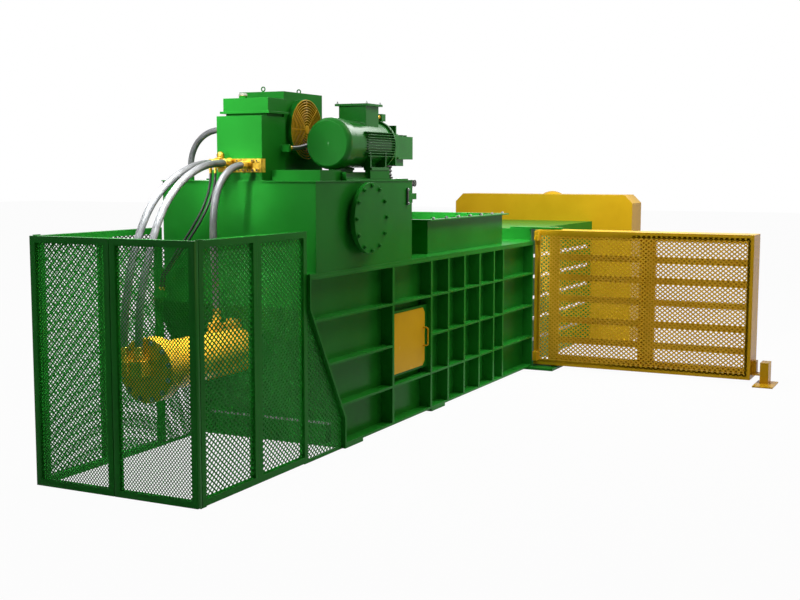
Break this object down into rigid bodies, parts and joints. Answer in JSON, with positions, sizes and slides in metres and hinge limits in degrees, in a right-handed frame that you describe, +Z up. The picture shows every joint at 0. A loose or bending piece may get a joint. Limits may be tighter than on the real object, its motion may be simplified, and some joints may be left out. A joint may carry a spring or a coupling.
{
  "type": "recycling baler",
  "caption": "Horizontal channel baler: hydraulic ram in a ribbed body, feed hopper, squeeze frame, tank-top power pack, mesh cage and swing gate.",
  "frame": {"origin": "middle of the underside of the middle sleeper, on the machine's centre plane", "axes": "+X along the machine towards the discharge, +Z up, -Y the side with the manhole and the gate"},
  "size_m": [9.505, 4.787, 2.952],
  "materials": {
    "green_paint": "glossy green machine enamel",
    "yellow_paint": "glossy golden yellow enamel",
    "cylinder_paint": "glossy yellow enamel on machined barrel",
    "mesh_paint": "green enamel on expanded mesh",
    "plated_steel": "zinc-plated steel",
    "ground_steel": "ground steel",
    "rod_chrome": "hard chrome",
    "hose_rubber": "smooth dark hose rubber",
    "bellows_rubber": "matt black rubber",
    "gauge_plastic": "dark plastic",
    "dark_guide": "hard guide plastic"
  },
  "bodies": {
    "machine": {"sleeper_frame": "green_paint", "floor_plate": "ground_steel", "side_wall_near": "green_paint", "side_wall_far": "green_paint", "side_ribs_near": "green_paint", "side_ribs_far": "green_paint", "rear_bulkhead": "green_paint", "top_deck": "green_paint", "feed_hopper": "green_paint", "tying_roof": "green_paint", "tying_side_near": "green_paint", "tying_side_far": "green_paint", "wire_guides": "dark_guide", "squeeze_frame": "yellow_paint", "tension_cylinder": "yellow_paint", "tank_shell": "green_paint", "tank_top_plate": "green_paint", "manhole_neck": "green_paint", "manhole_cover": "green_paint", "level_gauge": "gauge_plastic", "gauge_bracket": "green_paint", "pressure_gauges": "gauge_plastic", "power_base": "green_paint", "motor_housing": "green_paint", "motor_cowl": "green_paint", "terminal_box": "green_paint", "bellhousing": "green_paint", "pump_body": "green_paint", "valve_block": "green_paint", "suction_bellows": "bellows_rubber", "valve_cabinet": "green_paint", "cabinet_cap": "green_paint", "hose_fittings": "plated_steel", "cooler_housing": "green_paint", "fan_guard": "plated_steel", "lifting_eyes": "plated_steel", "cylinder_barrel": "cylinder_paint", "cylinder_cap": "cylinder_paint", "rod_side_pipe": "cylinder_paint", "cage_sides": "green_paint", "cage_side_mesh": "mesh_paint", "gate_stand": "yellow_paint", "hex_bolts": "ground_steel", "hose_bore_far": "hose_rubber", "hose_bore_near": "hose_rubber", "hose_rod_side": "hose_rubber", "hoses_pilot": "bellows_rubber", "hose_return": "hose_rubber", "hose_pressure": "hose_rubber"},
    "ram": {"piston_rod": "rod_chrome", "ram_box": "yellow_paint"},
    "cage_leaf_near": {"cage_door_near": "green_paint"},
    "cage_leaf_far": {"cage_door_far": "green_paint"},
    "hatch": {"inspection_door": "yellow_paint", "door_handle": "yellow_paint"},
    "gate": {"gate_frame": "yellow_paint", "gate_mesh": "yellow_paint"},
    "rotor": {"motor_rotor": "ground_steel"},
    "fan": {"cooler_fan": "gauge_plastic"},
    "platen": {"tension_platen": "ground_steel"}
  },
  "joints": [
    {"name": "ram_slide", "type": "slide", "parent": "machine", "child": "ram", "axis": [1, 0, 0], "range_m": [0, 2.2]},
    {"name": "cage_leaf_near_hinge", "type": "hinge", "parent": "machine", "child": "cage_leaf_near", "pos_m": [-3.81, -0.696, 0], "axis": [0, 0, 1], "range_deg": [0, 100]},
    {"name": "cage_leaf_far_hinge", "type": "hinge", "parent": "machine", "child": "cage_leaf_far", "pos_m": [-3.81, 0.696, 0], "axis": [0, 0, 1], "range_deg": [-100, 0]},
    {"name": "hatch_hinge", "type": "hinge", "parent": "machine", "child": "hatch", "pos_m": [-0.929, -0.707, 0.529], "axis": [0, 0, 1], "range_deg": [-100, 0]},
    {"name": "gate_swing", "type": "hinge", "parent": "machine", "child": "gate", "pos_m": [2.85, -0.935, 0], "axis": [0, 0, 1], "range_deg": [0, 90]},
    {"name": "rotor_spin", "type": "hinge", "parent": "machine", "child": "rotor", "pos_m": [-1.2, -0.5, 2.482], "axis": [1, 0, 0], "continuous": true},
    {"name": "fan_spin", "type": "hinge", "parent": "machine", "child": "fan", "pos_m": [-1.565, 0, 2.6], "axis": [0, 1, 0], "continuous": true},
    {"name": "platen_press", "type": "slide", "parent": "machine", "child": "platen", "axis": [0, 0, -1], "range_m": [0, 0.12]}
  ]
}
